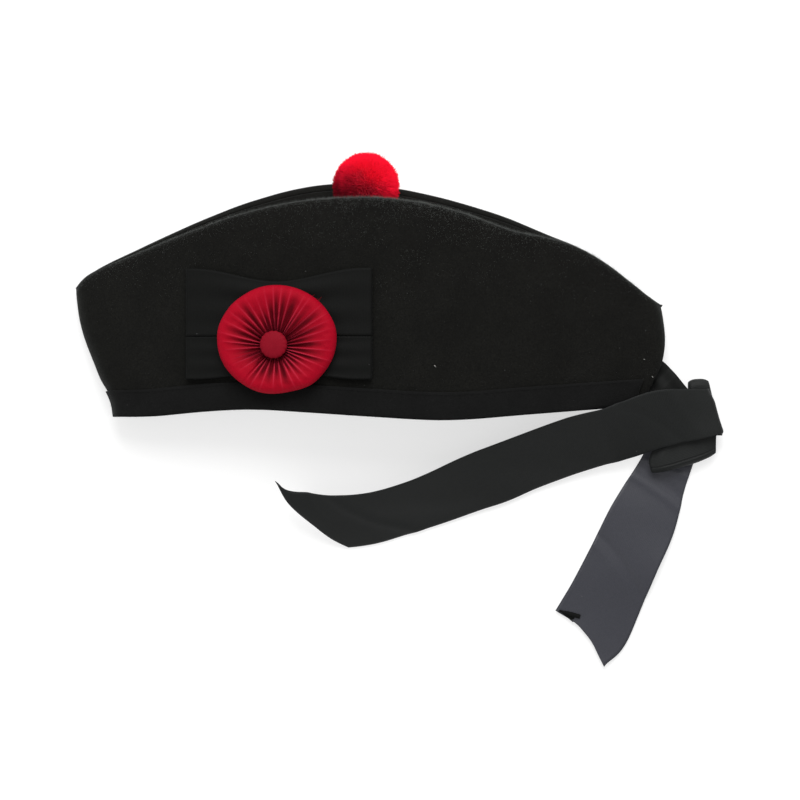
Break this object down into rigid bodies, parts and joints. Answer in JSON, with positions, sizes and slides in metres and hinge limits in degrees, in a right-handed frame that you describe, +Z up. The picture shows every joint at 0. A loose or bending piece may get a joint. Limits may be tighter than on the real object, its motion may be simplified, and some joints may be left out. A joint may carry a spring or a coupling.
{
  "type": "glengarry cap",
  "caption": "Folded wool felt cap with a valley crown, a pompom, a gathered ribbon cockade on a bow and ribbon tails knotted at the back.",
  "frame": {"origin": "on the flat of the right side panel, which the cap lies on, at mid length and 63 mm above the rim's lowest seat line", "axes": "+X from the front to the back, +Y from the rim to the crest, +Z up, from the right side panel to the left one"},
  "size_m": [0.3449, 0.2765, 0.0547],
  "materials": {
    "felt": "milled wool felt, black, matte with a short nap",
    "binding": "narrow black binding tape, matte",
    "wool": "dense red wool pile",
    "red_ribbon": "red ribbon with a soft shine",
    "ribbon": "black ribbed ribbon, matte side",
    "satin_back": "black ribbon, satin reverse side"
  },
  "bodies": {
    "root": {"side_left": "felt", "side_right": "felt", "crown": "felt", "rim_band": "binding", "toorie": "wool", "bow_upper": "ribbon", "bow_lower": "ribbon", "cockade_rosette": "red_ribbon", "cockade_button": "red_ribbon", "ribbon_root": "ribbon", "ribbon_knot": "ribbon", "tail_left": "ribbon", "tail_right": "satin_back"}
  },
  "joints": []
}
